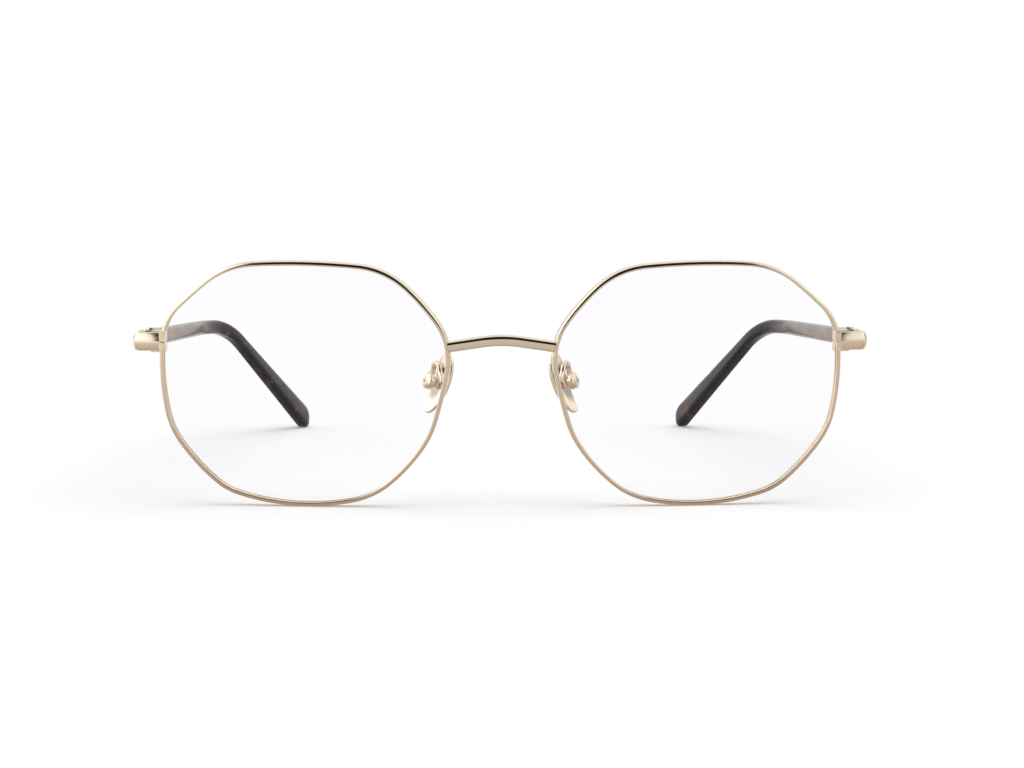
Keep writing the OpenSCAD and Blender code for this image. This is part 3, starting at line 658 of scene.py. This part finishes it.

# The studio: a plain white floor under an even dome of light. Polished metal sees a painted reflection
# of a bright room over a mauve-grey floor, with a painted dark opening and a dark sheet in front, which
# draw the dark lines on it.


def after_mirror(nodes, links):
    """One for light that a polished piece has mirrored, also where it then passes through a lens."""
    path = nodes.new("ShaderNodeLightPath")
    mirrors = combined(nodes, links, "MINIMUM", path.outputs["Glossy Depth"], 1.0)
    return combined(nodes, links, "MULTIPLY", path.outputs["Is Glossy Ray"], mirrors)


def floor_material():
    """White to the eye. In mirrored light it shows a painted reflection of a room's floor, from the
    frame to the camera.
    """
    material, nodes, links = new_material("studio_floor")
    shader = nodes["Principled BSDF"]
    shader.inputs["Base Color"].default_value = (0.93, 0.93, 0.935, 1)
    shader.inputs["Roughness"].default_value = 0.9
    shader.inputs["Specular IOR Level"].default_value = 0.0
    glow = nodes.new("ShaderNodeEmission")
    glow.inputs["Strength"].default_value = 0.12
    white = nodes.new("ShaderNodeAddShader")
    links.new(shader.outputs["BSDF"], white.inputs[0])
    links.new(glow.outputs["Emission"], white.inputs[1])
    spot = nodes.new("ShaderNodeSeparateXYZ")
    links.new(nodes.new("ShaderNodeTexCoord").outputs["Object"], spot.inputs["Vector"])
    # Painted shadow: the dark stop at 0.22 lies under the bottom of the rims
    painted_floor_shades = [(0.0, (0.90, 0.84, 0.78)), (0.16, (0.78, 0.71, 0.65)), (0.22, (0.48, 0.40, 0.34)),
              (0.245, (0.63, 0.54, 0.46)), (0.275, (0.66, 0.58, 0.53)), (0.39, (0.70, 0.65, 0.67)),
              (1.0, (0.80, 0.77, 0.69))]
    forward = ranged(nodes, links, spot.outputs["Y"], 0.0, -0.32, 0.0, 1.0)
    # Painted reflection of a room's floor, seen only in mirrored light
    painted_room = nodes.new("ShaderNodeEmission")
    links.new(toned(nodes, links, forward, painted_floor_shades), painted_room.inputs["Color"])
    # Painted shade and light: a dark strip runs on from under the camera, and the floor is brightest on
    # the window's side
    aside = combined(nodes, links, "ABSOLUTE", spot.outputs["X"])
    beside = ranged(nodes, links, aside, 0.05, 0.09, 0.0, 1.0)
    nearer = ranged(nodes, links, spot.outputs["Y"], -0.42, -0.36, 0.02, 1.0)
    level = combined(nodes, links, "MAXIMUM", beside, nearer)
    painted_window_light = ranged(nodes, links, spot.outputs["X"], -0.08, -0.20, 1.0, 1.4)
    links.new(combined(nodes, links, "MULTIPLY", level, painted_window_light), painted_room.inputs["Strength"])
    surface = mixed(nodes, links, after_mirror(nodes, links), white.outputs["Shader"],
                    painted_room.outputs["Emission"])
    links.new(surface, nodes["Material Output"].inputs["Surface"])
    return material


FLOOR_RADIUS = 6
floor_bm = bmesh.new()
bmesh.ops.create_circle(floor_bm, cap_ends=True, radius=FLOOR_RADIUS, segments=64)
floor_mesh = bpy.data.meshes.new("studio_floor")
floor_bm.to_mesh(floor_mesh)
floor_bm.free()
floor_mesh.materials.append(floor_material())
floor = bpy.data.objects.new("studio_floor", floor_mesh)
bpy.context.scene.collection.objects.link(floor)


def dark_reflection_material():
    """Painted dark reflection: black in mirrored light, and nothing to any other."""
    material, nodes, links = new_material("painted_dark_reflection")
    nodes.remove(nodes["Principled BSDF"])
    clear = nodes.new("ShaderNodeBsdfTransparent")
    black = nodes.new("ShaderNodeEmission")
    black.inputs["Strength"].default_value = 0.015
    surface = mixed(nodes, links, after_mirror(nodes, links), clear.outputs["BSDF"],
                    black.outputs["Emission"])
    links.new(surface, nodes["Material Output"].inputs["Surface"])
    return material


# This dark sheet hangs between the camera and the frame, and only mirrored light meets it, so it paints
# dark reflections on the metal
SHEET_WIDTH, SHEET_BOTTOM, SHEET_TOP, SHEET_Y = 0.25, 0.028, 0.32, -0.2
dark_sheet_bm = bmesh.new()
bmesh.ops.create_grid(dark_sheet_bm, x_segments=1, y_segments=1, size=0.5)
bmesh.ops.scale(dark_sheet_bm, vec=(SHEET_WIDTH, SHEET_TOP - SHEET_BOTTOM, 1), verts=dark_sheet_bm.verts)
bmesh.ops.rotate(dark_sheet_bm, matrix=Matrix.Rotation(pi / 2, 3, "X"), verts=dark_sheet_bm.verts)
bmesh.ops.translate(dark_sheet_bm, vec=(0, SHEET_Y, (SHEET_TOP + SHEET_BOTTOM) / 2), verts=dark_sheet_bm.verts)
dark_sheet_mesh = bpy.data.meshes.new("painted_dark_reflection")
dark_sheet_bm.to_mesh(dark_sheet_mesh)
dark_sheet_bm.free()
dark_sheet_mesh.materials.append(dark_reflection_material())
dark_sheet = bpy.data.objects.new("painted_dark_reflection", dark_sheet_mesh)
bpy.context.scene.collection.objects.link(dark_sheet)

world = bpy.data.worlds.new("studio")
bpy.context.scene.world = world
world.use_nodes = True
nodes, links = world.node_tree.nodes, world.node_tree.links
nodes.clear()
dome = nodes.new("ShaderNodeBackground")
dome.inputs["Color"].default_value = (1, 1, 1, 1)
dome.inputs["Strength"].default_value = 0.62
backdrop = nodes.new("ShaderNodeBackground")
backdrop.inputs["Color"].default_value = (1, 1, 1, 1)
backdrop.inputs["Strength"].default_value = 1.0
way = nodes.new("ShaderNodeSeparateXYZ")
links.new(nodes.new("ShaderNodeTexCoord").outputs["Generated"], way.inputs["Vector"])
aside = combined(nodes, links, "ABSOLUTE", way.outputs["X"])


def eased(source, start, end, low, high):
    return ranged(nodes, links, source, start, end, low, high, "SMOOTHSTEP")


# Painted dark reflection: the opening spans about 27 degrees to each side of the camera and reaches
# almost overhead
OPENING_DARKNESS = 0.985
painted_opening = combined(nodes, links, "MULTIPLY", eased(aside, 0.38, 0.52, OPENING_DARKNESS, 0.0),
                   eased(way.outputs["Y"], -0.08, -0.24, 0.0, 1.0))
# Painted dark reflection: a dark patch on each side, a little behind the frame
DARK_PATCH_DIRECTION = (0.864, 0.459, 0.208)
beside = nodes.new("ShaderNodeCombineXYZ")
links.new(aside, beside.inputs["X"])
links.new(way.outputs["Y"], beside.inputs["Y"])
links.new(way.outputs["Z"], beside.inputs["Z"])
toward = nodes.new("ShaderNodeVectorMath")
toward.operation = "DOT_PRODUCT"
toward.inputs[1].default_value = DARK_PATCH_DIRECTION
links.new(beside.outputs["Vector"], toward.inputs[0])
painted_dark_patch = eased(toward.outputs["Value"], 0.950, 0.985, 0.0, 0.6)
# Painted light in reflections: the walls are brightest at the sides, most of all on the window's side,
# and a little darker low down
painted_wall_light = combined(nodes, links, "MULTIPLY", eased(aside, 0.4, 0.9, 1.0, 1.25),
                 eased(way.outputs["Z"], 0.0, 0.3, 0.85, 1.0))
painted_wall_light = combined(nodes, links, "MULTIPLY", painted_wall_light, eased(way.outputs["X"], -0.8, -0.3, 1.6, 1.0))
light_left = combined(nodes, links, "SUBTRACT", 1.0, combined(nodes, links, "MAXIMUM", painted_opening, painted_dark_patch))
# Painted reflection of the room, seen only in mirrored light
painted_room = nodes.new("ShaderNodeBackground")
painted_room.inputs["Color"].default_value = (1, 0.99, 0.975, 1)
links.new(combined(nodes, links, "MULTIPLY", light_left, painted_wall_light), painted_room.inputs["Strength"])
path = nodes.new("ShaderNodeLightPath")
seen = combined(nodes, links, "MAXIMUM", path.outputs["Is Camera Ray"],
                path.outputs["Is Transmission Ray"])
plain = mixed(nodes, links, seen, dome.outputs["Background"], backdrop.outputs["Background"])
links.new(mixed(nodes, links, after_mirror(nodes, links), plain, painted_room.outputs["Background"]),
          nodes.new("ShaderNodeOutputWorld").inputs["Surface"])

# A wide soft light from high up on one side gives the frame its faint shadow on the floor
lamp = bpy.data.lights.new("high_window", "SUN")
lamp.energy = 1.1
lamp.angle = radians(60)
window = bpy.data.objects.new("high_window", lamp)
window.rotation_euler = (radians(12), radians(8), 0)
window.visible_glossy = False
bpy.context.scene.collection.objects.link(window)

# The camera stands a little over the top of the frame and looks slightly down at it
CAMERA_PLACE = (-0.00566, -0.45534, 0.0540)
CAMERA_DIP, CAMERA_TURN = 0.0815, -0.0198
camera_data = bpy.data.cameras.new("camera")
camera_data.sensor_width = 36.0
camera_data.lens = 74.25
camera_data.clip_start = 0.01
camera = bpy.data.objects.new("camera", camera_data)
camera.location = CAMERA_PLACE
camera.rotation_euler = (pi / 2 - CAMERA_DIP, 0, CAMERA_TURN)
bpy.context.scene.collection.objects.link(camera)
bpy.context.scene.camera = camera
bpy.context.scene.view_settings.view_transform = "Standard"
